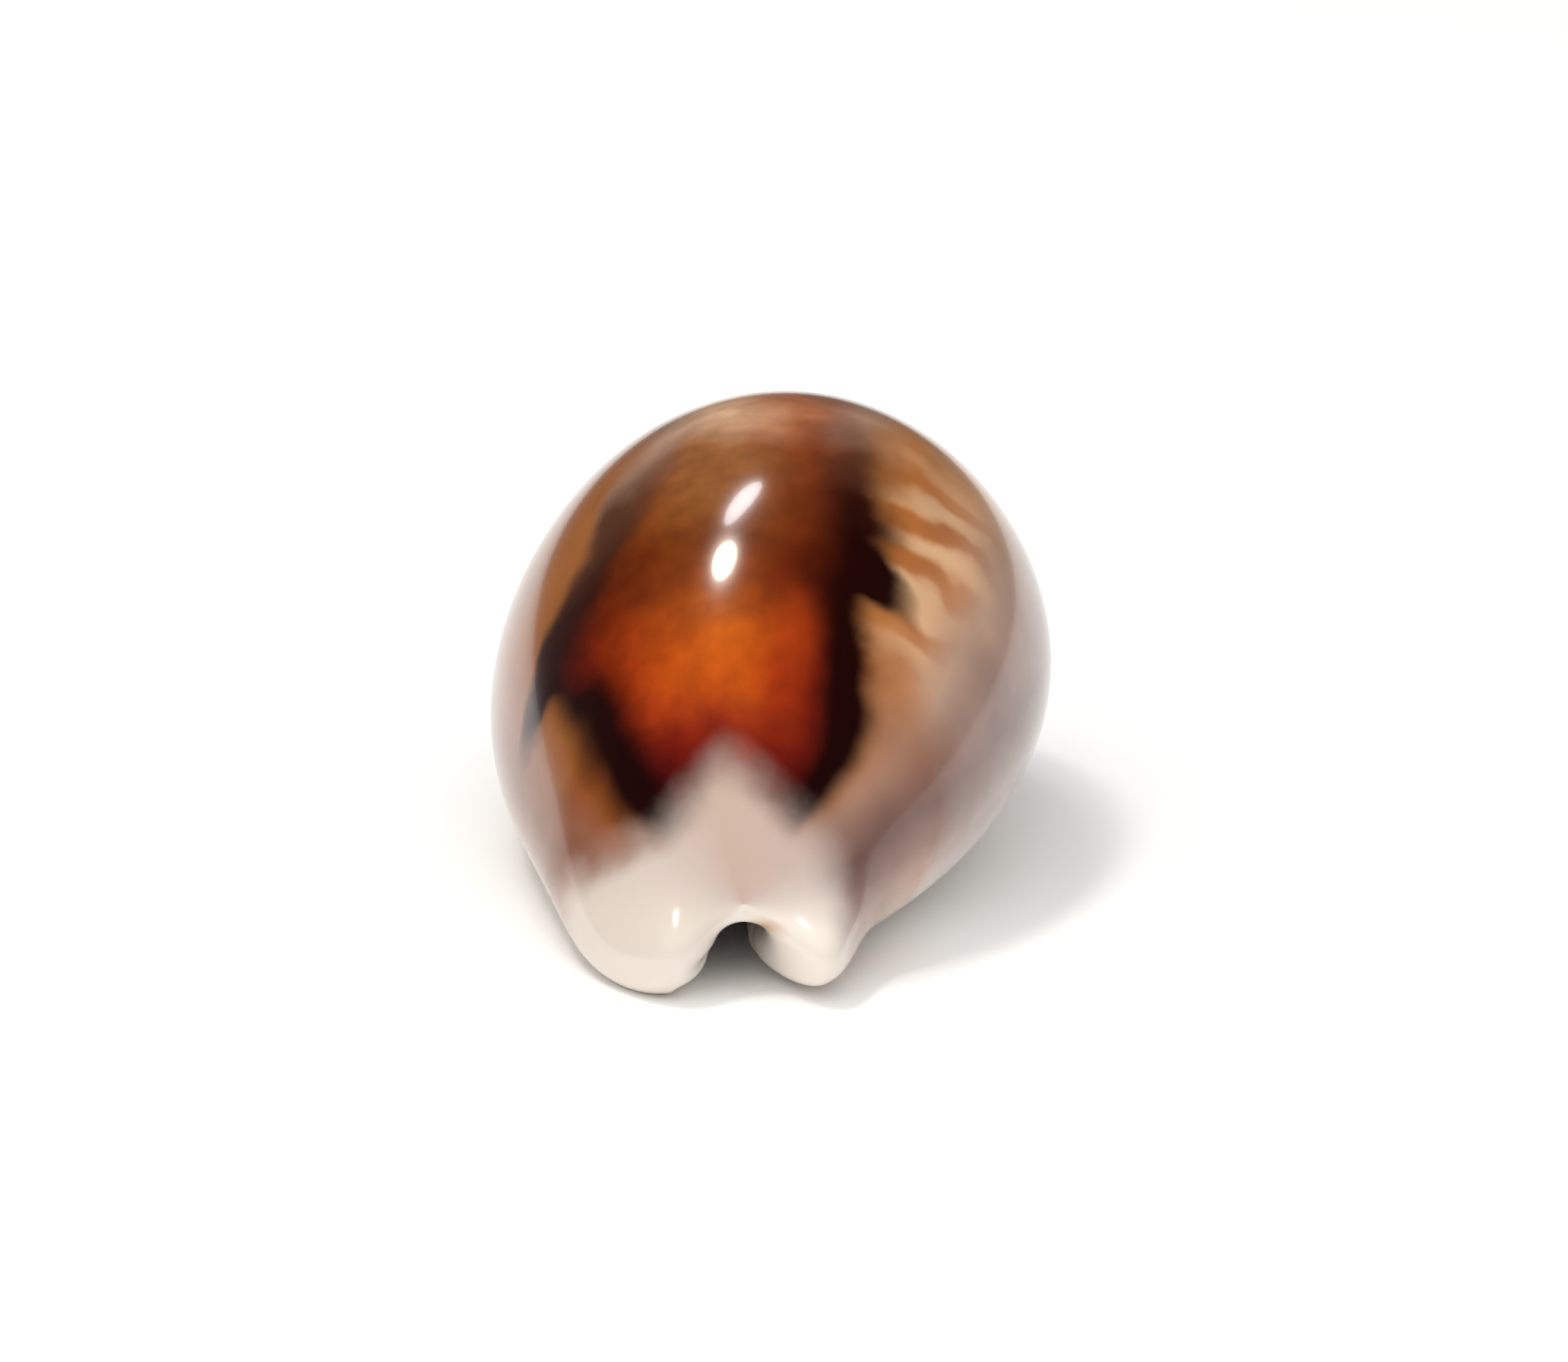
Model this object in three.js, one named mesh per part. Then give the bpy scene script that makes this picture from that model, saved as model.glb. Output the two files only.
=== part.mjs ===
// A cowrie shell: one hollow piece of porcelain-like shell, coiled so far that only a narrow
// toothed aperture is left, along the underside.
//
// Frame: millimetres, +Z up. The shell rests on its base. Its long axis lies along Y, with the
// anterior end at -Y and the posterior end at +Y. The outer lip is on the -X side and the inner
// lip on the +X side. The origin is on the resting plane, under the middle of the shell.
//
// The whole wall is one closed sheet. It starts at the crest of the outside, spreads down both
// flanks to the aperture, turns round the lips, and runs back up the inside to close there.
// A point of the sheet is first found on a unit ball, by its station (-1 at the posterior tip
// to +1 at the anterior tip), side (-1 outer lip, +1 inner lip) and rise (-1 base, +1 crest).

import * as THREE from 'three';
import { ParametricGeometry } from 'three/addons/geometries/ParametricGeometry.js';
import { mergeVertices } from 'three/addons/utils/BufferGeometryUtils.js';

// Sizes of the outside, mm. A list holds the coefficients of a polynomial in the station, or for
// the squareness of the cross-section, in the rise: it is larger towards the base, which it flattens.
const OUTSIDE = {
  halfLength: 23.3,
  halfWidth: [15.85, -1.9, 0.45],
  halfHeight: [13.45, -0.3],
  centreHeight: [11.0, -0.4, -5.7, 0.5],
  squareness: [2.0, -0.5],
  innerSideFullness: 0.85,
  crestLean: [1.7, -0.3],
  endSlant: [0.4, 1.2, 1.4],
};

// Wall thickness, mm.
const WALL = { top: 1.4, side: 2.2, base: 3.2, end: 3.6 };

// The aperture: how much of the length it takes, its half gap and its sideways course, mm.
// Towards each end the gap narrows into a canal, sooner where the rounding is larger.
const APERTURE_REACH = 0.989;
const APERTURE_HALF_GAP = [1.35, 0.15];
const APERTURE_COURSE = [0.1, -1.2, -0.9];
const CANAL_ROUNDING = 0.16;
const LIP_RADIUS = 2.2;

// Swellings on both sides of the two canals: where each is centred, how far it spreads on the
// unit ball, and how far it carries the surface, mm.
const LOBES = [
  { centre: [0.93, -0.42, -0.25], spread: 0.25, carry: [-1.1, -1.6, -2.05] },
  { centre: [0.93, 0.2, -0.27], spread: 0.15, carry: [1.9, -1.6, -1.6] },
  { centre: [0.96, -0.27, -0.33], spread: 0.14, carry: [0.8, -1.4, 0] },
  { centre: [0.96, 0.26, -0.33], spread: 0.12, carry: [0, -1.4, 0.3] },
  { centre: [0.94, -0.21, -0.14], spread: 0.112, carry: [0.2, -1.2, 1.05] },
  { centre: [0.93, 0.2, -0.18], spread: 0.105, carry: [0, -0.9, 1.5] },
  { centre: [-0.93, -0.3, -0.2], spread: 0.22, carry: [-0.6, 1.2, -0.3] },
  { centre: [-0.93, 0.28, -0.2], spread: 0.22, carry: [0.6, 1.2, -0.3] },
];

// Teeth: ridges across both lips, left standing between grooves. They stand in slots counted
// round the aperture from its anterior end, down the outer lip and back along the inner lip.
// The fade sets how soon the grooves run out on the base: larger is sooner.
const TOOTH_SLOTS = 48;
const OUTER_LIP_TEETH = { first: 2, last: 22, fade: 0.8 };
const INNER_LIP_TEETH = { first: 27, last: 44, fade: 1.4 };
const GROOVE_DEPTH = 0.5;

// The flat spot: the base is rubbed flat below this level, mm, with a softened edge.
const FLAT_LEVEL = 0.12;
const FLAT_SOFTENING = 0.06;

// Fineness of the sheet: columns round the aperture, and rows from the crest to the inside.
const COLUMNS = TOOTH_SLOTS * 4;
const COLUMN_CROWDING = 0.14;
const OUTSIDE_ROWS = 12;
const LIP_ROWS = 8;
const INSIDE_ROWS = 5;
const ROWS = OUTSIDE_ROWS + LIP_ROWS + INSIDE_ROWS;
const SLOPE_STEP = 1e-4;

const SHELL_COLOUR = 0x9a5a33;
const SHELL_ROUGHNESS = 0.15;

// The inside has the form of the outside, less the thickness of the wall.
const INSIDE = {
  ...OUTSIDE,
  halfLength: OUTSIDE.halfLength - WALL.end,
  halfWidth: [OUTSIDE.halfWidth[0] - WALL.side, ...OUTSIDE.halfWidth.slice(1)],
  halfHeight: [OUTSIDE.halfHeight[0] - (WALL.top + WALL.base) / 2, OUTSIDE.halfHeight[1]],
  centreHeight: [
    OUTSIDE.centreHeight[0] + (WALL.base - WALL.top) / 2,
    ...OUTSIDE.centreHeight.slice(1),
  ],
};

function alongShell(coefficients, station) {
  return coefficients.reduceRight((sum, coefficient) => sum * station + coefficient, 0);
}

// A point of the unit ball: x is its station, y its side and z its rise. The descent runs from
// 0 at the crest to PI along the aperture's middle line, and the turn runs once round that line
// from its anterior end. The ends of the line are the foci of the grid.
function ballPoint(descent, turn) {
  const reach = APERTURE_REACH;
  return new THREE.Vector3(
    Math.cos(turn) * Math.sqrt(1 - (1 - reach ** 2) * Math.cos(descent) ** 2),
    -Math.sin(descent) * Math.sin(turn),
    Math.cos(descent) * Math.sqrt(1 - (reach * Math.cos(turn)) ** 2),
  );
}

// The place in the shell of a point of the unit ball, on the outside or on the inside.
function formPoint(form, ball) {
  const { x: station, y: side, z: rise } = ball;
  return new THREE.Vector3(
    alongShell(form.halfWidth, station) * side
      + form.innerSideFullness * side ** 2
      + alongShell(form.crestLean, station) * rise
      + alongShell(APERTURE_COURSE, station) * (1 - rise) / 2,
    -form.halfLength * station + alongShell(form.endSlant, station) * rise,
    alongShell(form.centreHeight, station)
      + alongShell(form.halfHeight, station) * rise
      + alongShell(form.squareness, rise) * (rise ** 2 - side ** 2),
  );
}

function addLobes(point, ball) {
  for (const { centre, spread, carry } of LOBES) {
    const distance = ball.distanceTo(new THREE.Vector3(...centre).normalize());
    const strength = Math.exp(-(distance ** 2) / (2 * spread ** 2));
    point.addScaledVector(new THREE.Vector3(...carry), strength);
  }
  return point;
}

// Angles round the aperture: columns crowd together along the middle of the shell.
function turnAt(u) {
  return 2 * Math.PI * u + COLUMN_CROWDING * Math.sin(4 * Math.PI * u);
}

// The descent at the aperture's edge, and the width of the lip's rounding in the same angle.
function apertureEdge(turn) {
  const station = APERTURE_REACH * Math.cos(turn);
  const anglePerMm = 1
    / alongShell(OUTSIDE.halfWidth, station)
    / Math.hypot(Math.sin(turn), CANAL_ROUNDING);
  return {
    edge: Math.PI - alongShell(APERTURE_HALF_GAP, station) * anglePerMm,
    lip: LIP_RADIUS * anglePerMm,
  };
}

// The lip's roll is an angle: 0 where the outside meets the lip, PI where the inside does.
function rollAt(v) {
  const lipShare = (v * ROWS - OUTSIDE_ROWS) / LIP_ROWS;
  return Math.PI * THREE.MathUtils.clamp(lipShare, 0, 1);
}

function smoothSheet(u, v) {
  const row = v * ROWS;
  const roll = rollAt(v);
  const turn = turnAt(u);
  const { edge, lip } = apertureEdge(turn);
  const shareToLip = Math.min(1, row / OUTSIDE_ROWS, (ROWS - row) / INSIDE_ROWS);
  const descent = shareToLip * (edge - lip) + lip * Math.sin(roll);
  const depth = (1 - Math.cos(roll)) / 2;
  const ball = ballPoint(descent, turn);
  return addLobes(formPoint(OUTSIDE, ball), ball).lerp(formPoint(INSIDE, ball), depth);
}

function sheetNormal(u, v) {
  const along = smoothSheet(u + SLOPE_STEP, v).sub(smoothSheet(u - SLOPE_STEP, v));
  const down = smoothSheet(u, v + SLOPE_STEP).sub(smoothSheet(u, v - SLOPE_STEP));
  return along.cross(down).normalize();
}

// How deep the grooves between the teeth are here, mm.
function grooveDepth(u, v) {
  const slot = u * TOOTH_SLOTS;
  const roll = rollAt(v);
  const { smoothstep } = THREE.MathUtils;
  const reach = [OUTER_LIP_TEETH, INNER_LIP_TEETH].map(({ first, last, fade }) => {
    const started = smoothstep(slot, first - 1, first);
    const ended = smoothstep(slot, last, last + 1);
    return started * (1 - ended) * Math.sin(roll) ** fade;
  });
  const betweenTeeth = (1 - Math.cos(2 * Math.PI * slot)) / 2;
  return GROOVE_DEPTH * betweenTeeth * Math.max(...reach);
}

function rubFlat(height) {
  const above = height - FLAT_LEVEL;
  if (above <= -FLAT_SOFTENING) return 0;
  if (above >= FLAT_SOFTENING) return above;
  return (above + FLAT_SOFTENING) ** 2 / (4 * FLAT_SOFTENING);
}

function toothedSheet(u, v, target) {
  target.copy(smoothSheet(u, v));
  const groove = grooveDepth(u, v);
  if (groove > 0) target.addScaledVector(sheetNormal(u, v), -groove);
  target.z = rubFlat(target.z);
}

function shellGeometry() {
  const sheet = new ParametricGeometry(toothedSheet, COLUMNS, ROWS);
  sheet.deleteAttribute('normal');
  sheet.deleteAttribute('uv');
  const geometry = mergeVertices(sheet);
  geometry.computeBoundingBox();
  const middle = geometry.boundingBox.getCenter(new THREE.Vector3());
  geometry.translate(-middle.x, -middle.y, -geometry.boundingBox.min.z);
  geometry.computeVertexNormals();
  return geometry;
}

const shell = new THREE.Mesh(
  shellGeometry(),
  new THREE.MeshStandardMaterial({ color: SHELL_COLOUR, roughness: SHELL_ROUGHNESS, metalness: 0 }),
);
shell.name = 'shell';

const cowrie = new THREE.Group();
cowrie.add(shell);

export default cowrie;
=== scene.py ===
import math

import bpy
import numpy as np
from mathutils import Matrix, Vector


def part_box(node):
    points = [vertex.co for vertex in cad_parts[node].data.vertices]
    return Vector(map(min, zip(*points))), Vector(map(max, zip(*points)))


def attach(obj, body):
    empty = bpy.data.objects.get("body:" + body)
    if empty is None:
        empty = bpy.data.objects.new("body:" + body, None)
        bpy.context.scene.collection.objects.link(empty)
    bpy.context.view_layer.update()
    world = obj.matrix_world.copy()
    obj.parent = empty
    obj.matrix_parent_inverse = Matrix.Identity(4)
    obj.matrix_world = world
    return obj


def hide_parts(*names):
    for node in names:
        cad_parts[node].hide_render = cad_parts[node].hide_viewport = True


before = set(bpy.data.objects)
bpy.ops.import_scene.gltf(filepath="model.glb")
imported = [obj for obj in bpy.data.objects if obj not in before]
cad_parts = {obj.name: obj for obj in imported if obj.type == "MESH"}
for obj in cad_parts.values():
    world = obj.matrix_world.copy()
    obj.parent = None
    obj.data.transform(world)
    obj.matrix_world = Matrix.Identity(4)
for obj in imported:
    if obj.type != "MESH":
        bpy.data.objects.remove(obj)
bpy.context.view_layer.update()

# A cowrie shell on a pale table. Sizes in the tables below are millimetres, and the scene is in
# metres. The frame is the CAD part's: +Z up, anterior end at -Y, outer lip at -X.
#
# A place on the shell is known by its point on a unit ball: station (-1 posterior tip to +1
# anterior tip), side (-1 outer lip to +1 inner lip) and rise (-1 base to +1 crest).

MM = 0.001

# The outside. A list holds the coefficients of a polynomial in the station, or for the
# squareness of the cross-section, in the rise.
OUTSIDE = {
    "half_length": 23.3,
    "half_width": [15.85, -1.9, 0.45],
    "half_height": [13.45, -0.3],
    "centre_height": [11.0, -0.4, -5.7, 0.5],
    "squareness": [2.0, -0.5],
    "inner_side_fullness": 0.85,
    "crest_lean": [1.7, -0.3],
    "end_slant": [0.4, 1.2, 1.4],
}

# The inside has the form of the outside, less the thickness of the wall.
WALL = {"top": 1.4, "side": 2.2, "base": 3.2, "end": 3.6}
INSIDE = {
    **OUTSIDE,
    "half_length": OUTSIDE["half_length"] - WALL["end"],
    "half_width": [OUTSIDE["half_width"][0] - WALL["side"], *OUTSIDE["half_width"][1:]],
    "half_height": [
        OUTSIDE["half_height"][0] - (WALL["top"] + WALL["base"]) / 2,
        *OUTSIDE["half_height"][1:],
    ],
    "centre_height": [
        OUTSIDE["centre_height"][0] + (WALL["base"] - WALL["top"]) / 2,
        *OUTSIDE["centre_height"][1:],
    ],
}

# The aperture: its share of the length, its half gap and its sideways course. Towards each end
# the gap narrows into a canal, sooner where the rounding is larger. Then the lips' radius.
APERTURE_REACH = 0.989
APERTURE_HALF_GAP = [1.35, 0.15]
APERTURE_COURSE = [0.1, -1.2, -0.9]
CANAL_ROUNDING = 0.16
LIP_RADIUS = 2.2

# Swellings beside the two canals: centre and spread on the ball, and how far they carry it.
LOBES = [
    ([0.93, -0.42, -0.25], 0.25, [-1.1, -1.6, -2.05]),
    ([0.93, 0.2, -0.27], 0.15, [1.9, -1.6, -1.6]),
    ([0.96, -0.27, -0.33], 0.14, [0.8, -1.4, 0.0]),
    ([0.96, 0.26, -0.33], 0.12, [0.0, -1.4, 0.3]),
    ([0.94, -0.21, -0.14], 0.112, [0.2, -1.2, 1.05]),
    ([0.93, 0.2, -0.18], 0.105, [0.0, -0.9, 1.5]),
    ([-0.93, -0.3, -0.2], 0.22, [-0.6, 1.2, -0.3]),
    ([-0.93, 0.28, -0.2], 0.22, [0.6, 1.2, -0.3]),
]

# Teeth stand in slots counted round the aperture from its anterior end, down the outer lip and
# back along the inner lip. These are the first and the last slot of each lip.
TOOTH_SLOTS = 48
OUTER_LIP_TEETH = (2, 22)
INNER_LIP_TEETH = (27, 44)

# Fineness of the sheet: columns round the aperture, crowded along the middle of the shell, and
# rows from the crest to the inside.
COLUMNS = TOOTH_SLOTS * 14
COLUMN_CROWDING = 0.14
OUTSIDE_ROWS = 72
LIP_ROWS = 44
INSIDE_ROWS = 20


def along(coefficients, station):
    """The value of a polynomial in the station."""
    total = 0.0
    for coefficient in reversed(coefficients):
        total = total * station + coefficient
    return total


def ball_point(descent, turn):
    """The point of the unit ball at an angle down from the crest line, on a turn round it."""
    station = np.cos(turn) * np.sqrt(1 - (1 - APERTURE_REACH**2) * np.cos(descent) ** 2)
    side = -np.sin(descent) * np.sin(turn)
    rise = np.cos(descent) * np.sqrt(1 - (APERTURE_REACH * np.cos(turn)) ** 2)
    return np.stack([station, side, rise], axis=-1)


def form_point(form, ball):
    """Where a point of the ball is on the outside or the inside, mm."""
    station, side, rise = ball[..., 0], ball[..., 1], ball[..., 2]
    x = (
        along(form["half_width"], station) * side
        + form["inner_side_fullness"] * side**2
        + along(form["crest_lean"], station) * rise
        + along(APERTURE_COURSE, station) * (1 - rise) / 2
    )
    y = -form["half_length"] * station + along(form["end_slant"], station) * rise
    z = (
        along(form["centre_height"], station)
        + along(form["half_height"], station) * rise
        + along(form["squareness"], rise) * (rise**2 - side**2)
    )
    return np.stack([x, y, z], axis=-1)


def add_lobes(points, ball):
    """The points of the outside, carried out by the swellings."""
    for centre, spread, carry in LOBES:
        middle = np.array(centre) / np.linalg.norm(centre)
        distance = np.linalg.norm(ball - middle, axis=-1)
        strength = np.exp(-(distance**2) / (2 * spread**2))
        points = points + strength[..., None] * np.array(carry)
    return points


def wall_grid():
    """The wall's rows, from the crest over the lip to the inside, by its columns round the
    aperture: points in mm, their places on the ball, and the fields that the finish reads."""
    rows = np.arange(OUTSIDE_ROWS + LIP_ROWS + INSIDE_ROWS + 1)
    roll = math.pi * np.clip((rows - OUTSIDE_ROWS) / LIP_ROWS, 0, 1)
    share = np.minimum(1, np.minimum(rows / OUTSIDE_ROWS, (rows[-1] - rows) / INSIDE_ROWS))
    u = np.arange(COLUMNS) / COLUMNS
    turn = 2 * math.pi * u + COLUMN_CROWDING * np.sin(4 * math.pi * u)
    station = APERTURE_REACH * np.cos(turn)
    angle_per_mm = 1 / along(OUTSIDE["half_width"], station)
    angle_per_mm = angle_per_mm / np.hypot(np.sin(turn), CANAL_ROUNDING)
    edge = math.pi - along(APERTURE_HALF_GAP, station) * angle_per_mm
    lip = LIP_RADIUS * angle_per_mm
    descent = share[:, None] * (edge - lip) + lip * np.sin(roll)[:, None]
    ball = ball_point(descent, turn[None, :])
    depth = (1 - np.cos(roll))[:, None] / 2
    outside = add_lobes(form_point(OUTSIDE, ball), ball)
    points = outside + (form_point(INSIDE, ball) - outside) * depth[..., None]
    grid = np.ones(descent.shape)
    fields = {
        "wall_depth": grid * depth,
        "tooth_slot": grid * (u * TOOTH_SLOTS)[None, :],
        "lip_roll": grid * roll[:, None],
    }
    return points, ball, fields


def shell_sheet():
    """The whole wall as one closed sheet: crest, flanks, lips, inside. Its teeth come later."""
    points, ball, fields = wall_grid()

    # Both crest lines are met from two sides, so their columns are shared in pairs.
    kept = np.ones(points.shape[:2], bool)
    kept[[0, -1], COLUMNS // 2 + 1 :] = False
    index = np.cumsum(kept.ravel()).reshape(kept.shape) - 1
    far_side = np.arange(COLUMNS // 2 + 1, COLUMNS)
    for row in (0, -1):
        index[row, far_side] = index[row, COLUMNS - far_side]
    upper, lower = index[:-1], index[1:]
    faces = np.stack([upper, np.roll(upper, -1, 1), np.roll(lower, -1, 1), lower], axis=-1)

    mesh = bpy.data.meshes.new("shell_sheet")
    mesh.from_pydata((points[kept] * MM).tolist(), [], faces.reshape(-1, 4).tolist())
    mesh.shade_smooth()
    for name, values in fields.items():
        field = mesh.attributes.new(name, "FLOAT", "POINT")
        field.data.foreach_set("value", values[kept].astype(np.float32))
    place = mesh.attributes.new("ball_place", "FLOAT_VECTOR", "POINT")
    place.data.foreach_set("vector", ball[kept].astype(np.float32).ravel())
    sheet = bpy.data.objects.new("shell_sheet", mesh)
    bpy.context.scene.collection.objects.link(sheet)
    return sheet


def add_node(tree, kind, inputs=None, points=(), stops=(), **settings):
    """Adds a node with its settings, and the points of its curve or the stops of its ramp.
    An input is given a value, or the socket it's linked to."""
    node = tree.nodes.new(kind)
    for name, value in settings.items():
        setattr(node, name, value)
    if points:
        line = node.mapping.curves[0]
        while len(line.points) < len(points):
            line.points.new(0.5, 0.5)
        for point, place in zip(line.points, points):
            point.location = place
        node.mapping.update()
    if stops:
        elements = node.color_ramp.elements
        while len(elements) < len(stops):
            elements.new(1.0)
        for element, (place, colour) in zip(elements, stops):
            element.position = place
            element.color = linear(colour)
    for socket, given in (inputs or {}).items():
        if isinstance(given, bpy.types.NodeSocket):
            tree.links.new(given, node.inputs[socket])
        else:
            node.inputs[socket].default_value = given
    return node


LIP_TEETH_INPUTS = [
    ("Groove Depth", "NodeSocketFloat", 0.62 * MM),
    ("Groove Sharpness", "NodeSocketFloat", 0.8),
    ("Outer Lip Fade", "NodeSocketFloat", 0.8),
    ("Inner Lip Fade", "NodeSocketFloat", 1.3),
    ("Unevenness", "NodeSocketFloat", 0.35),
    ("Seed", "NodeSocketInt", 11),
    ("Flat Level", "NodeSocketFloat", 0.12 * MM),
    ("Flat Softening", "NodeSocketFloat", 0.12 * MM),
    ("Material", "NodeSocketMaterial", None),
]


def groove_reach(tree, sizes, slot, roll, own_depth):
    """How strongly each point of the lips is grooved, 0 to 1: most on the lip's edge, less round
    its roll, and nothing past the first and the last tooth. Shallow grooves are short ones."""
    round_lip = add_node(tree, "ShaderNodeMath", {0: roll}, operation="SINE").outputs[0]
    round_lip = add_node(
        tree, "ShaderNodeMath", {0: round_lip, 1: 0.0}, operation="MAXIMUM"
    ).outputs[0]
    rows = []
    for (first, last), fade in (
        (OUTER_LIP_TEETH, sizes["Outer Lip Fade"]),
        (INNER_LIP_TEETH, sizes["Inner Lip Fade"]),
    ):
        own_fade = add_node(
            tree, "ShaderNodeMath", {0: fade, 1: own_depth}, operation="DIVIDE"
        ).outputs[0]
        reach = add_node(
            tree, "ShaderNodeMath", {0: round_lip, 1: own_fade}, operation="POWER"
        ).outputs[0]
        for low, high in ((first - 1, first), (last + 1, last)):
            ends = add_node(
                tree,
                "ShaderNodeMapRange",
                {"Value": slot, "From Min": float(low), "From Max": float(high)},
                interpolation_type="SMOOTHSTEP",
            ).outputs[0]
            reach = add_node(
                tree, "ShaderNodeMath", {0: reach, 1: ends}, operation="MULTIPLY"
            ).outputs[0]
        rows.append(reach)
    return add_node(
        tree, "ShaderNodeMath", {0: rows[0], 1: rows[1]}, operation="MAXIMUM"
    ).outputs[0]


def grooved(tree, sizes):
    """The sheet with the grooves cut into both lips."""
    slot, roll = (
        add_node(tree, "GeometryNodeInputNamedAttribute", {"Name": name}).outputs["Attribute"]
        for name in ("tooth_slot", "lip_roll")
    )

    # Each groove has its own depth and length, drawn by its number.
    number = add_node(tree, "ShaderNodeMath", {0: slot}, operation="FLOOR").outputs[0]
    least = add_node(
        tree, "ShaderNodeMath", {0: 1.0, 1: sizes["Unevenness"]}, operation="SUBTRACT"
    ).outputs[0]
    own_depth = add_node(
        tree,
        "FunctionNodeRandomValue",
        {"Min": least, "Max": 1.0, "ID": number, "Seed": sizes["Seed"]},
        data_type="FLOAT",
    ).outputs[1]

    # The profile across a groove: 0 on the tooth, 1 in the middle of the groove.
    turns = add_node(tree, "ShaderNodeMath", {0: slot, 1: 2 * math.pi}, operation="MULTIPLY")
    wave = add_node(tree, "ShaderNodeMath", {0: turns.outputs[0]}, operation="COSINE")
    profile = add_node(
        tree,
        "ShaderNodeMapRange",
        {"Value": wave.outputs[0], "From Min": 1.0, "From Max": -1.0},
    ).outputs[0]
    profile = add_node(
        tree, "ShaderNodeMath", {0: profile, 1: sizes["Groove Sharpness"]}, operation="POWER"
    ).outputs[0]

    cut = groove_reach(tree, sizes, slot, roll, own_depth)
    for factor in (profile, own_depth, sizes["Groove Depth"], -1.0):
        cut = add_node(
            tree, "ShaderNodeMath", {0: cut, 1: factor}, operation="MULTIPLY"
        ).outputs[0]
    normal = add_node(tree, "GeometryNodeInputNormal").outputs[0]
    inwards = add_node(
        tree, "ShaderNodeVectorMath", {0: normal, "Scale": cut}, operation="SCALE"
    ).outputs[0]
    return add_node(
        tree, "GeometryNodeSetPosition", {"Geometry": sizes["Geometry"], "Offset": inwards}
    ).outputs[0]


def rubbed_flat(tree, sizes, sheet):
    """The sheet with its base rubbed flat below the flat level, with a softened edge."""
    position = add_node(tree, "GeometryNodeInputPosition").outputs[0]
    parts = add_node(tree, "ShaderNodeSeparateXYZ", {0: position}).outputs
    above = add_node(
        tree, "ShaderNodeMath", {0: parts[2], 1: sizes["Flat Level"]}, operation="SUBTRACT"
    ).outputs[0]
    height = add_node(
        tree,
        "ShaderNodeMath",
        {0: above, 1: 0.0, 2: sizes["Flat Softening"]},
        operation="SMOOTH_MAX",
    ).outputs[0]
    place = add_node(tree, "ShaderNodeCombineXYZ", {0: parts[0], 1: parts[1], 2: height})
    return add_node(
        tree, "GeometryNodeSetPosition", {"Geometry": sheet, "Position": place.outputs[0]}
    ).outputs[0]


def lip_teeth_tree():
    """Cuts the grooves that leave the teeth standing on both lips, then rubs the base flat."""
    tree = bpy.data.node_groups.new("lip_teeth", "GeometryNodeTree")
    tree.interface.new_socket("Geometry", in_out="INPUT", socket_type="NodeSocketGeometry")
    for name, kind, value in LIP_TEETH_INPUTS:
        socket = tree.interface.new_socket(name, in_out="INPUT", socket_type=kind)
        if value is not None:
            socket.default_value = value
    tree.interface.new_socket("Geometry", in_out="OUTPUT", socket_type="NodeSocketGeometry")
    sizes = add_node(tree, "NodeGroupInput").outputs
    flat = rubbed_flat(tree, sizes, grooved(tree, sizes))
    whole = add_node(tree, "GeometryNodeRealizeInstances", {"Geometry": flat}).outputs[0]
    finished = add_node(
        tree, "GeometryNodeSetMaterial", {"Geometry": whole, "Material": sizes["Material"]}
    ).outputs[0]
    add_node(tree, "NodeGroupOutput", {"Geometry": finished})
    return tree


def finished_shell(sheet, finish):
    """The shell as a plain mesh, standing where the CAD part stands."""
    teeth = sheet.modifiers.new("lip_teeth", "NODES")
    teeth.node_group = lip_teeth_tree()
    identifiers = {
        item.name: item.identifier
        for item in teeth.node_group.interface.items_tree
        if item.in_out == "INPUT"
    }
    for name, _, value in LIP_TEETH_INPUTS:
        teeth[identifiers[name]] = finish if name == "Material" else value
    evaluated = sheet.evaluated_get(bpy.context.evaluated_depsgraph_get())
    mesh = bpy.data.meshes.new_from_object(evaluated)
    mesh.name = "cowrie_shell"
    sheet.modifiers.remove(teeth)
    bpy.data.objects.remove(sheet)

    points = np.zeros(len(mesh.vertices) * 3, np.float32)
    mesh.vertices.foreach_get("co", points)
    points = points.reshape(-1, 3)
    low, high = (Vector(corner) for corner in (points.min(0), points.max(0)))
    cad_low, cad_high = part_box("shell")
    shift = (cad_low + cad_high - low - high) / 2
    shift.z = cad_low.z - low.z
    mesh.transform(Matrix.Translation(shift))
    shell = bpy.data.objects.new("cowrie_shell", mesh)
    bpy.context.scene.collection.objects.link(shell)
    return shell


def linear(colour):
    """An sRGB hex colour as linear red, green, blue and alpha."""
    channels = [int(colour[i : i + 2], 16) / 255 for i in (0, 2, 4)]
    return (*(c / 12.92 if c <= 0.04045 else ((c + 0.055) / 1.055) ** 2.4 for c in channels), 1.0)


# The pattern is laid out in degrees. Around: 0 at the crest, + towards the inner lip, 180 at
# the aperture. Polar: 0 at the anterior tip, 180 at the posterior tip. Both reach the nodes as
# shares of their range, 0 to 1.


def around_share(degrees):
    return (degrees + 180) / 360


def polar_share(degrees):
    return degrees / 180


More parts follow.
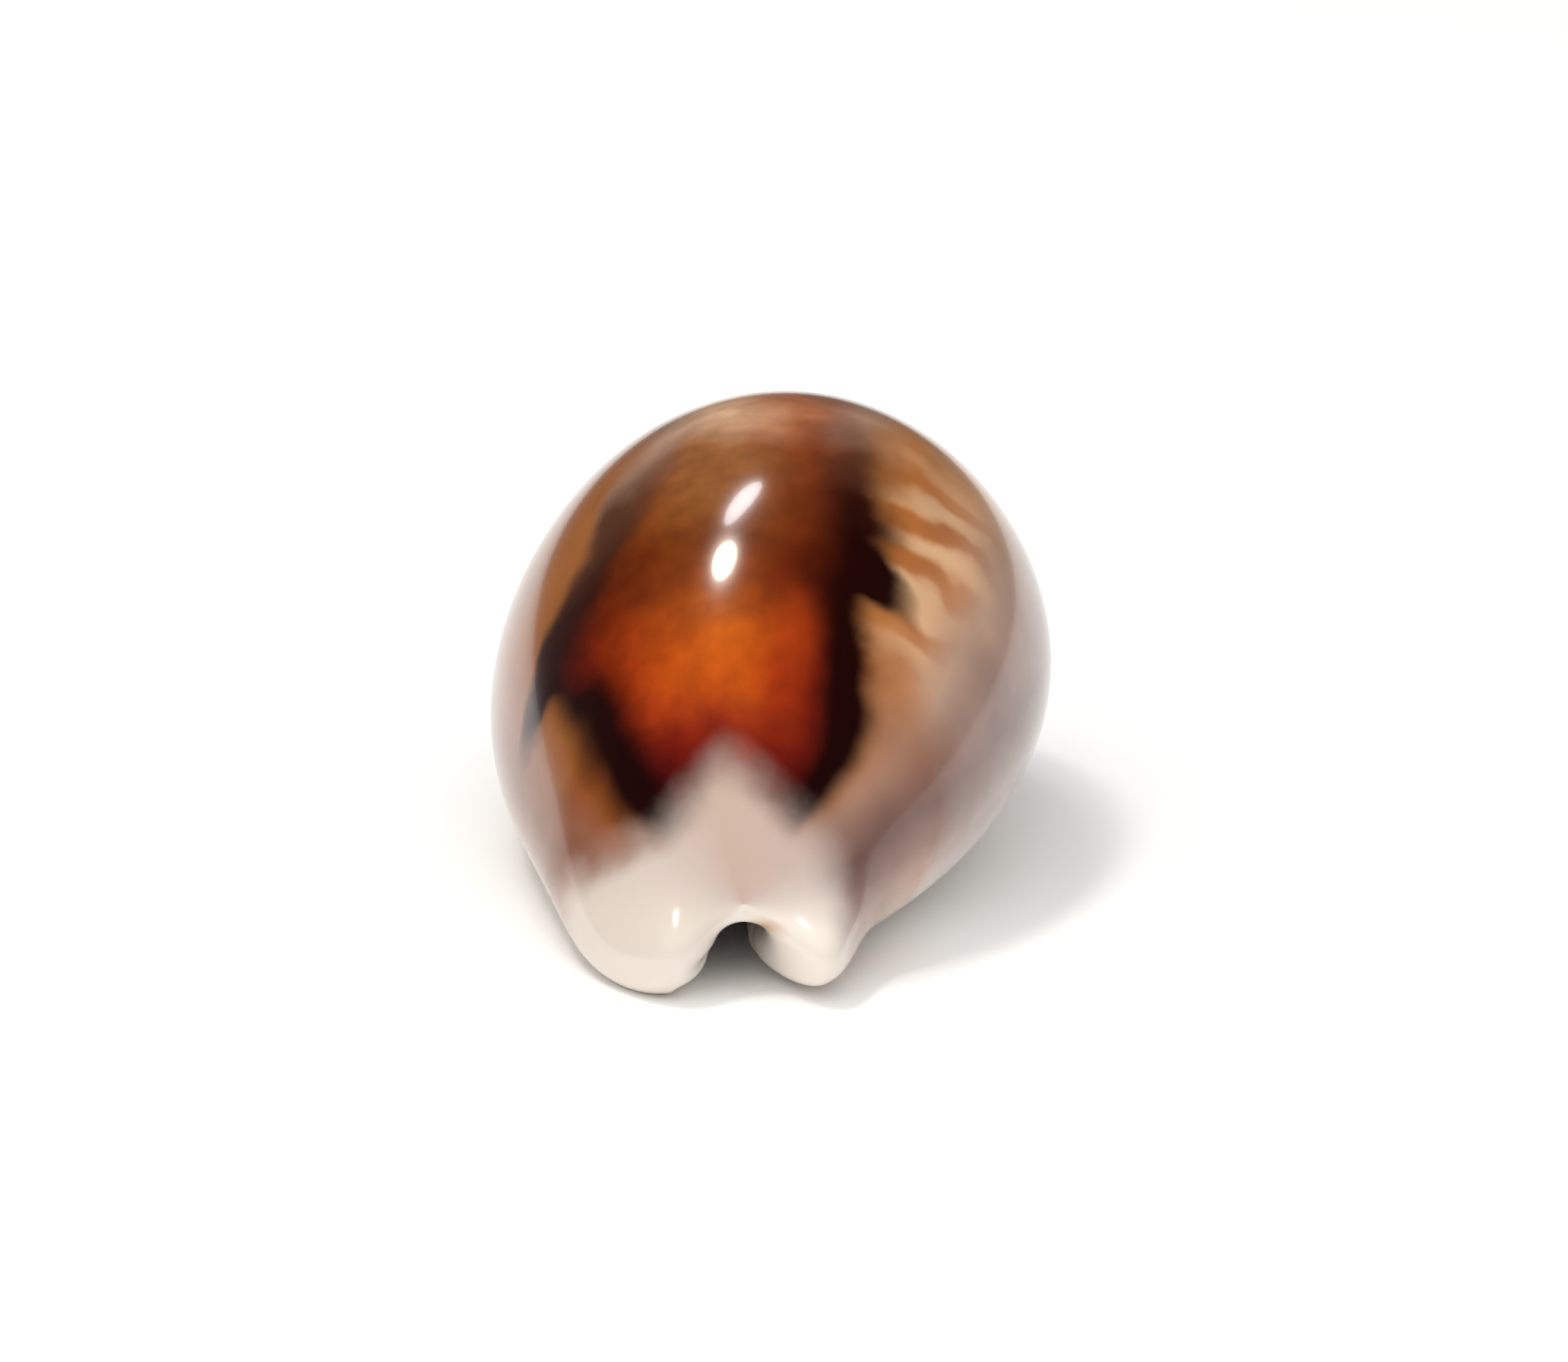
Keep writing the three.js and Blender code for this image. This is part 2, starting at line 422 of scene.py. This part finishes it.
# Edges of the dark saddle on the back, and of the chestnut inside it: around against polar.
DARK_EDGES = {
    "outer_left": [
        (0, -50), (22, -60), (30, -68), (44, -67), (52, -68), (57, -70), (61.5, -84), (65, -73),
        (70, -58), (75, -50), (82, -37), (97, -31), (118, -42), (135, -34), (150, -24), (180, 0),
    ],
    "inner_left": [
        (0, -38), (22, -46), (40, -48), (50, -50), (57, -59), (62, -54), (67, -42), (74, -31),
        (80, -24), (97, -20), (118, -27), (135, -20), (150, -10), (180, 0),
    ],
    "inner_right": [
        (0, 22), (22, 22), (36, 19), (45, 12), (56, 10), (70, 12), (97, 12), (118, 16),
        (135, 12), (150, 4), (180, 0),
    ],
    "outer_right": [
        (0, 34), (20, 41), (32, 42), (38, 40), (42, 35), (46, 27), (49, 26), (53.5, 36), (58, 26),
        (62, 28), (70, 24), (97, 23), (118, 29), (135, 24), (150, 14), (180, 0),
    ],
}

# Where the pale anterior tip ends, polar against around, and where the posterior one starts.
TIP_EDGE = [
    (-180, 40), (-112, 42), (-94, 36), (-82, 30.5), (-68, 25.6), (-60, 22.6), (-42, 22.0),
    (-18, 23.2), (0, 20.4), (15, 18.2), (32, 17.4), (55, 18.5), (72, 18.5), (92, 18), (120, 24),
    (180, 40),
]
POSTERIOR_TIP = 152

# How far each edge is softened, to both sides, in the degrees that it's drawn in.
SADDLE_SOFTENING = 7
CHESTNUT_SOFTENING = 8
TIP_SOFTENING = 6

# How far the edges wander, in degrees, and over what distance, mm. The wander grows towards the
# back, between two places in degrees polar. A finer feathering takes its own share of it.
WANDER = 7
WANDER_SIZE = 4.5
WANDER_GROWTH = 1.8
WANDER_GROWS = (90, 115)
FEATHER = 0.12
FEATHER_SIZE = 1.3

# How much lighter or darker the mottling makes a colour, as a share of it, where its random
# draw is at one end of the range that most draws fall in.
MOTTLING = 0.14
USUAL_DRAWS = (0.3, 0.7)

# Fingers of dark orange, with pale gaps, beside the saddle's right edge. The first one's middle
# on the crest line, their spacing and how much they waver are in degrees polar. The slant is in
# degrees polar for each degree around. They reach over these stretches, with softened ends.
FINGER_FIRST = 46.31
FINGER_SPACING = 9.0
FINGER_WAVER = 5.0
FINGER_SLANT = 0.2
FINGERS_AROUND = (26, 47)
FINGERS_POLAR = (48, 80)
FINGERS_AROUND_SOFTENING = 9
FINGERS_POLAR_SOFTENING = 8

# Colour of the fingers and of the gaps: between which heights of the cosine wave across them
# each one comes in, and how strongly.
FINGER_COLOURS = [("9a4c10", -0.5, 1.0), ("deb892", 0.6, -1.0)]
FINGER_STRENGTH = 0.6

# The chestnut's colours lie at a slant across the back: degrees polar for each degree around,
# and where around the slant shifts nothing.
CHESTNUT_SLANT = 0.13
CHESTNUT_STEADY = -20

# The brown stain of the water canal, on the inner lip's side of the anterior notch.
STAIN_COLOUR = "c09c78"
STAIN_AROUND = (134, 164)
STAIN_POLAR = (4.5, 9)
STAIN_AROUND_SOFTENING = 14
STAIN_POLAR_SOFTENING = 2.5

# Colours against around.
FLANK_COLOURS = [
    (-140, "e4dace"), (-120, "bca898"), (-106, "9e7f6d"), (-93, "8c6653"), (-82, "966a54"),
    (-75, "965e3a"), (-70, "945828"), (0, "945828"), (28, "b67640"), (42, "c4926a"),
    (54, "bc9a84"), (67, "a28478"), (80, "866a62"), (94, "9f8980"), (108, "cabab2"),
    (126, "efe7df"),
]
CHESTNUT_TINTS = [
    (-58, "a05048"), (-44, "d0a08c"), (-30, "f0dccc"), (-18, "ffffff"), (-10, "ffffff"),
    (2, "d8aa90"), (18, "a05c48"),
]
TIP_COLOURS = [
    (-150, "e8dfd4"), (-110, "dacdc1"), (-70, "cbbcb1"), (-25, "c4aa9c"), (20, "c8aea1"),
    (60, "c8b3a8"), (95, "d0c1b7"), (125, "e6dbd0"),
]

# Colours against polar.
FLANK_TINTS = [
    (14, "c0b8b8"), (22, "d0c4c4"), (32, "e4d2ca"), (42, "e8d0c0"), (48, "ffffff"),
]
DARK_COLOURS = [
    (18, "180101"), (58, "1c0301"), (66, "2c0c05"), (75, "52301f"), (88, "b08c76"),
    (104, "704a36"), (120, "3c1e12"), (150, "2a120c"),
]
CHESTNUT_COLOURS = [
    (18, "2e0201"), (24, "620c02"), (29, "86240a"), (36, "b44a03"), (44, "b85404"),
    (49, "a04a0a"), (55, "76350a"), (60, "6c3208"), (68, "804a1e"), (78, "8e5a34"),
    (88, "d0a888"), (98, "c89c78"), (116, "8c5832"), (135, "8a4a20"), (155, "6a3018"),
]

# The inside's colour, and the share of the wall's thickness at which it takes over.
INSIDE_COLOUR = "d8ccc6"
INSIDE_EDGE = 0.6
INSIDE_SOFTENING = 0.3


def soft_step(tree, value, edge, width):
    """0 below the edge and 1 above it, going over within the width on both sides."""
    past = add_node(tree, "ShaderNodeMath", {0: value, 1: edge}, operation="SUBTRACT")
    return add_node(
        tree,
        "ShaderNodeMapRange",
        {"Value": past.outputs[0], "From Min": -width, "From Max": width},
        interpolation_type="SMOOTHSTEP",
    ).outputs[0]


def between(tree, value, low, high, width):
    """1 between two edges and 0 outside them."""
    above = soft_step(tree, value, low, width)
    beyond = soft_step(tree, value, high, width)
    return add_node(
        tree, "ShaderNodeMath", {0: above, 1: beyond}, operation="SUBTRACT", use_clamp=True
    ).outputs[0]


def patch(tree, around, polar, across, along_shell, softenings):
    """1 on a patch that reaches over a stretch around and a stretch polar, and 0 elsewhere."""
    sides = between(tree, around, *map(around_share, across), softenings[0] / 360)
    ends = between(tree, polar, *map(polar_share, along_shell), softenings[1] / 180)
    return add_node(
        tree, "ShaderNodeMath", {0: sides, 1: ends}, operation="MULTIPLY"
    ).outputs[0]


def pattern_place(tree):
    """Where a point of the surface is in the pattern, around and polar, as shares."""
    place = add_node(tree, "ShaderNodeAttribute", attribute_name="ball_place").outputs["Vector"]
    station, side, rise = add_node(tree, "ShaderNodeSeparateXYZ", {0: place}).outputs
    around = add_node(tree, "ShaderNodeMath", {0: side, 1: rise}, operation="ARCTAN2")
    around = add_node(
        tree,
        "ShaderNodeMapRange",
        {"Value": around.outputs[0], "From Min": -math.pi, "From Max": math.pi},
    ).outputs[0]
    polar = add_node(tree, "ShaderNodeMath", {0: station}, operation="ARCCOSINE")
    polar = add_node(
        tree, "ShaderNodeMapRange", {"Value": polar.outputs[0], "From Max": math.pi}
    ).outputs[0]
    return around, polar


def mantle_draws(tree):
    """Smooth random draws over the surface, 0 to 1: a red, green and blue one for the wander
    with its feathering, and three fine ones."""
    coordinates = add_node(tree, "ShaderNodeTexCoord").outputs["Object"]
    millimetres = add_node(
        tree, "ShaderNodeVectorMath", {0: coordinates, "Scale": 1 / MM}, operation="SCALE"
    ).outputs[0]
    coarse, fine = (
        add_node(
            tree,
            "ShaderNodeTexNoise",
            {"Vector": millimetres, "Scale": 1 / size, "Detail": detail, "Roughness": roughness},
        ).outputs["Color"]
        for size, detail, roughness in ((WANDER_SIZE, 1.5, 0.45), (FEATHER_SIZE, 2.0, 0.5))
    )
    feathered = add_node(
        tree, "ShaderNodeMix", {0: FEATHER, 6: coarse, 7: fine}, data_type="RGBA"
    ).outputs[2]
    return [
        add_node(tree, "ShaderNodeSeparateColor", {0: draws}).outputs
        for draws in (feathered, fine)
    ]


def wandered(tree, around, polar, draws):
    """The place in the pattern, shifted as far as the mantle's edge wandered."""
    growth = add_node(
        tree,
        "ShaderNodeMapRange",
        {
            "Value": polar,
            "From Min": polar_share(WANDER_GROWS[0]),
            "From Max": polar_share(WANDER_GROWS[1]),
            "To Min": 1.0,
            "To Max": WANDER_GROWTH,
        },
    ).outputs[0]
    shifted = []
    for value, draw, reach in ((around, draws[0], WANDER / 360), (polar, draws[1], WANDER / 180)):
        shift = add_node(
            tree, "ShaderNodeMapRange", {"Value": draw, "To Min": -reach, "To Max": reach}
        ).outputs[0]
        shifted.append(
            add_node(
                tree, "ShaderNodeMath", {0: shift, 1: growth, 2: value}, operation="MULTIPLY_ADD"
            ).outputs[0]
        )
    return shifted


def with_fingers(tree, flank, around, polar, draw):
    """The flank's colour, with the fingers that run down it from the saddle's right edge."""
    slant = add_node(
        tree,
        "ShaderNodeMath",
        {0: around, 1: -FINGER_SLANT * 360, 2: FINGER_SLANT * 180},
        operation="MULTIPLY_ADD",
    ).outputs[0]
    slanted = add_node(
        tree, "ShaderNodeMath", {0: polar, 1: 180.0, 2: slant}, operation="MULTIPLY_ADD"
    ).outputs[0]
    wavering = add_node(
        tree, "ShaderNodeMath", {0: draw, 1: FINGER_WAVER, 2: slanted}, operation="MULTIPLY_ADD"
    ).outputs[0]
    turns = 2 * math.pi / FINGER_SPACING
    phase = add_node(
        tree,
        "ShaderNodeMath",
        {0: wavering, 1: turns, 2: -FINGER_FIRST * turns},
        operation="MULTIPLY_ADD",
    ).outputs[0]
    wave = add_node(tree, "ShaderNodeMath", {0: phase}, operation="COSINE").outputs[0]
    where = patch(
        tree,
        around,
        polar,
        FINGERS_AROUND,
        FINGERS_POLAR,
        (FINGERS_AROUND_SOFTENING, FINGERS_POLAR_SOFTENING),
    )
    for colour, low, high in FINGER_COLOURS:
        amount = add_node(
            tree,
            "ShaderNodeMapRange",
            {"Value": wave, "From Min": low, "From Max": high, "To Max": FINGER_STRENGTH},
            interpolation_type="SMOOTHSTEP",
        ).outputs[0]
        amount = add_node(
            tree, "ShaderNodeMath", {0: amount, 1: where}, operation="MULTIPLY"
        ).outputs[0]
        flank = add_node(
            tree, "ShaderNodeMix", {0: amount, 6: flank, 7: linear(colour)}, data_type="RGBA"
        ).outputs[2]
    return flank


def mottled(tree, plain, draw):
    """A colour with a faint mottling, as where the enamel's layers are uneven in thickness."""
    shade = add_node(
        tree,
        "ShaderNodeMapRange",
        {
            "Value": draw,
            "From Min": USUAL_DRAWS[0],
            "From Max": USUAL_DRAWS[1],
            "To Min": 1 - MOTTLING,
            "To Max": 1 + MOTTLING,
        },
    ).outputs[0]
    return add_node(
        tree, "ShaderNodeVectorMath", {0: plain, "Scale": shade}, operation="SCALE"
    ).outputs[0]


def enamel_colour(tree):
    """The whole pattern, from the flanks up: each layer covers part of the ones before it."""
    around, polar = pattern_place(tree)
    wander, fine = mantle_draws(tree)
    around, polar = wandered(tree, around, polar, wander)

    slant_shift = add_node(
        tree,
        "ShaderNodeMapRange",
        {
            "Value": around,
            "To Min": polar_share((-180 - CHESTNUT_STEADY) * CHESTNUT_SLANT),
            "To Max": polar_share((180 - CHESTNUT_STEADY) * CHESTNUT_SLANT),
        },
    ).outputs[0]
    slanted = add_node(
        tree, "ShaderNodeMath", {0: polar, 1: slant_shift}, operation="ADD"
    ).outputs[0]
    flank, flank_tint, dark, chestnut, chestnut_tint, tip = (
        add_node(
            tree,
            "ShaderNodeValToRGB",
            {"Fac": value},
            stops=[(share(place), colour) for place, colour in colours],
        ).outputs["Color"]
        for value, share, colours in (
            (around, around_share, FLANK_COLOURS),
            (polar, polar_share, FLANK_TINTS),
            (polar, polar_share, DARK_COLOURS),
            (slanted, polar_share, CHESTNUT_COLOURS),
            (around, around_share, CHESTNUT_TINTS),
            (around, around_share, TIP_COLOURS),
        )
    )
    flank, chestnut = (
        add_node(
            tree,
            "ShaderNodeMix",
            {0: 1.0, 6: plain, 7: tint},
            data_type="RGBA",
            blend_type="MULTIPLY",
        ).outputs[2]
        for plain, tint in ((flank, flank_tint), (chestnut, chestnut_tint))
    )
    flank = with_fingers(tree, flank, around, polar, wander[2])
    flank = mottled(tree, flank, wander[2])
    chestnut = mottled(tree, chestnut, fine[0])

    # The saddle is dark, and chestnut inside its borders.
    edges = {
        name: add_node(
            tree,
            "ShaderNodeFloatCurve",
            {"Value": polar},
            points=[(polar_share(at), around_share(edge)) for at, edge in points],
        ).outputs[0]
        for name, points in DARK_EDGES.items()
    }
    saddle = between(
        tree, around, edges["outer_left"], edges["outer_right"], SADDLE_SOFTENING / 360
    )
    core = between(
        tree, around, edges["inner_left"], edges["inner_right"], CHESTNUT_SOFTENING / 360
    )
    core = add_node(tree, "ShaderNodeMath", {0: saddle, 1: core}, operation="MULTIPLY")

    # Both ends are pale.
    tip_edge = add_node(
        tree,
        "ShaderNodeFloatCurve",
        {"Value": around},
        points=[(around_share(at), polar_share(edge)) for at, edge in TIP_EDGE],
    ).outputs[0]
    middle = between(tree, polar, tip_edge, polar_share(POSTERIOR_TIP), TIP_SOFTENING / 180)
    at_tip = add_node(tree, "ShaderNodeMath", {0: 1.0, 1: middle}, operation="SUBTRACT")

    stain = patch(
        tree,
        around,
        polar,
        STAIN_AROUND,
        STAIN_POLAR,
        (STAIN_AROUND_SOFTENING, STAIN_POLAR_SOFTENING),
    )
    depth = add_node(tree, "ShaderNodeAttribute", attribute_name="wall_depth").outputs["Fac"]
    inside = soft_step(tree, depth, INSIDE_EDGE, INSIDE_SOFTENING)

    colour = flank
    for amount, cover in (
        (saddle, dark),
        (core.outputs[0], chestnut),
        (at_tip.outputs[0], tip),
        (stain, linear(STAIN_COLOUR)),
        (inside, linear(INSIDE_COLOUR)),
    ):
        colour = add_node(
            tree, "ShaderNodeMix", {0: amount, 6: colour, 7: cover}, data_type="RGBA"
        ).outputs[2]
    return colour


def glossy_cowrie_enamel():
    """Cowrie enamel: shell mineral that the living animal's mantle laid down in thin layers over
    the whole outside. It was never cut or polished, and still has the wet gloss of glazed
    porcelain: sharp small highlights, soft-edged colours that lie a little below the surface,
    and milky pale margins that let some light through."""
    material = bpy.data.materials.new("glossy_cowrie_enamel")
    material.use_nodes = True
    tree = material.node_tree
    tree.nodes.clear()
    surface = add_node(
        tree,
        "ShaderNodeBsdfPrincipled",
        {
            "Base Color": enamel_colour(tree),
            "Roughness": 0.16,
            "IOR": 1.53,
            "Subsurface Weight": 0.1,
            "Subsurface Radius": (1.0, 0.6, 0.4),
            "Subsurface Scale": 0.8 * MM,
            "Coat Weight": 0.35,
            "Coat Roughness": 0.04,
            "Coat IOR": 1.5,
        },
    ).outputs[0]
    add_node(tree, "ShaderNodeOutputMaterial", {"Surface": surface})
    return material


TABLE_COLOUR = "fafaf9"
TABLE_HALF_SIZE = 8.0


def matt_white_table():
    """Matt white card, with no pattern: it only takes the soft shadow."""
    material = bpy.data.materials.new("matt_white_table")
    material.use_nodes = True
    surface = material.node_tree.nodes["Principled BSDF"].inputs
    surface["Base Color"].default_value = linear(TABLE_COLOUR)
    surface["Roughness"].default_value = 0.9
    return material


def place_table():
    """A flat table, wide enough to reach the horizon."""
    half = TABLE_HALF_SIZE
    mesh = bpy.data.meshes.new("table")
    corners = [(-half, -half, 0), (half, -half, 0), (half, half, 0), (-half, half, 0)]
    mesh.from_pydata(corners, [], [(0, 1, 2, 3)])
    mesh.materials.append(matt_white_table())
    table = bpy.data.objects.new("table", mesh)
    bpy.context.scene.collection.objects.link(table)


# Sky colours by the sine of the elevation, and the plain backdrop behind the table.
SKY_COLOURS = [(0.0, "787878"), (0.08, "505050"), (0.45, "363636"), (1.0, "202020")]
BACKDROP_COLOUR = "fbfaf8"


def soft_surroundings():
    """A greyish horizon and a dim ceiling, which the gloss shows near the outline. Behind the
    table the backdrop is plain and pale."""
    world = bpy.data.worlds.new("soft_surroundings")
    bpy.context.scene.world = world
    world.use_nodes = True
    tree = world.node_tree
    tree.nodes.clear()
    direction = add_node(tree, "ShaderNodeTexCoord").outputs["Generated"]
    height = add_node(tree, "ShaderNodeSeparateXYZ", {0: direction}).outputs[2]
    colour = add_node(
        tree, "ShaderNodeValToRGB", {"Fac": height}, stops=SKY_COLOURS
    ).outputs["Color"]
    sky, backdrop = (
        add_node(tree, "ShaderNodeBackground", {"Color": light}).outputs[0]
        for light in (colour, linear(BACKDROP_COLOUR))
    )
    seen = add_node(tree, "ShaderNodeLightPath").outputs["Is Camera Ray"]
    surroundings = add_node(tree, "ShaderNodeMixShader", {0: seen, 1: sky, 2: backdrop}).outputs[0]
    add_node(tree, "ShaderNodeOutputWorld", {"Surface": surroundings})


# Lamps: the way to each from the point they aim at, its distance and size in metres, its power
# in watts and its colour.
LAMPS = {
    "key": ((-0.34, 0.0, 0.94), 0.6, (0.10, 0.10), 0.75, (1.0, 0.95, 0.84)),
    "window_strip": ((-0.22, 0.26, 0.94), 0.6, (0.17, 0.075), 0.5, (0.93, 0.95, 1.0)),
}
LAMPS_AIM = Vector((0.0, -0.01, 0.02))

# The fill: the way to it, how wide it is in degrees, and its strength.
FILL_WAY = (-0.1, -0.45, 0.88)
FILL_ANGLE = 120
FILL_STRENGTH = 3.15


def place_lamps():
    """Two soft lamps above the shell, which make its bright highlights."""
    for name, (way, distance, size, power, colour) in LAMPS.items():
        light = bpy.data.lights.new(name, "AREA")
        light.shape = "ELLIPSE"
        light.size, light.size_y = size
        light.energy = power
        light.color = colour
        lamp = bpy.data.objects.new(name, light)
        way = Vector(way).normalized()
        lamp.location = LAMPS_AIM + way * distance
        lamp.rotation_euler = way.to_track_quat("Z", "Y").to_euler()
        lamp.visible_camera = False
        bpy.context.scene.collection.objects.link(lamp)


def place_fill():
    """Even, nearly shadowless light from above, as from a white tent. The gloss doesn't show it."""
    light = bpy.data.lights.new("fill", "SUN")
    light.angle = math.radians(FILL_ANGLE)
    light.energy = FILL_STRENGTH
    fill = bpy.data.objects.new("fill", light)
    fill.rotation_euler = Vector(FILL_WAY).to_track_quat("Z", "Y").to_euler()
    fill.visible_glossy = False
    bpy.context.scene.collection.objects.link(fill)


# The camera: the way from the shell to it in degrees, its distance and what it aims at in mm,
# its lens and sensor in mm, and how far the view is shifted, as a share of its width.
CAMERA_AZIMUTH = -1.0
CAMERA_ELEVATION = 17.2
CAMERA_DISTANCE = 260
CAMERA_AIM = (-0.9, 0.36, 11.36)
CAMERA_LENS = 105.5
CAMERA_SENSOR = 36.0
CAMERA_SHIFT = (0.0178, -0.0156)


def place_camera():
    """Looks at the anterior end, from a little above."""
    azimuth = math.radians(CAMERA_AZIMUTH)
    elevation = math.radians(CAMERA_ELEVATION)
    way = Vector((
        math.sin(azimuth) * math.cos(elevation),
        -math.cos(azimuth) * math.cos(elevation),
        math.sin(elevation),
    ))
    data = bpy.data.cameras.new("camera")
    data.lens = CAMERA_LENS
    data.sensor_width = CAMERA_SENSOR
    data.shift_x, data.shift_y = CAMERA_SHIFT
    camera = bpy.data.objects.new("camera", data)
    camera.location = (Vector(CAMERA_AIM) + way * CAMERA_DISTANCE) * MM
    camera.rotation_euler = way.to_track_quat("Z", "Y").to_euler()
    bpy.context.scene.collection.objects.link(camera)
    bpy.context.scene.camera = camera


shell = finished_shell(shell_sheet(), glossy_cowrie_enamel())
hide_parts("shell")
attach(shell, "root")

place_table()
soft_surroundings()
place_lamps()
place_fill()
place_camera()
bpy.context.scene.view_settings.view_transform = "Standard"
